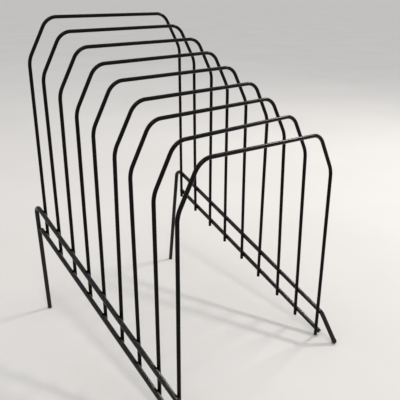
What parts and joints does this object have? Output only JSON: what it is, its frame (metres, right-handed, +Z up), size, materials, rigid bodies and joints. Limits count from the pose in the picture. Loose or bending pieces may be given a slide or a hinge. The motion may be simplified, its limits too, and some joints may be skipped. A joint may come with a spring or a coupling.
{
  "type": "photo album stand",
  "caption": "Black wire stand: inverted-U dividers with sloping shoulders step down from rear to front, welded to two sloping rails a side on bent-wire legs; holds photo albums upright.",
  "frame": {"origin": "on the table, under the middle of the stand's length and midway between its side frames", "axes": "+Z up, +X across the stand to the right seen from its low front, +Y towards the high rear"},
  "size_m": [0.2268, 0.2988, 0.3636],
  "materials": {
    "coated_wire": "gloss black coating",
    "coated_weld": "gloss black coating over a weld"
  },
  "bodies": {
    "root": {"arch_1": "coated_wire", "arch_2": "coated_wire", "arch_3": "coated_wire", "arch_4": "coated_wire", "arch_5": "coated_wire", "arch_6": "coated_wire", "arch_7": "coated_wire", "arch_8": "coated_wire", "arch_9": "coated_wire", "side_frame_left": "coated_wire", "side_frame_right": "coated_wire", "lower_rail_left": "coated_wire", "lower_rail_right": "coated_wire", "welds_1": "coated_weld", "welds_2": "coated_weld", "welds_3": "coated_weld", "welds_4": "coated_weld", "welds_5": "coated_weld", "welds_6": "coated_weld", "welds_7": "coated_weld", "welds_8": "coated_weld", "welds_9": "coated_weld"}
  },
  "joints": []
}
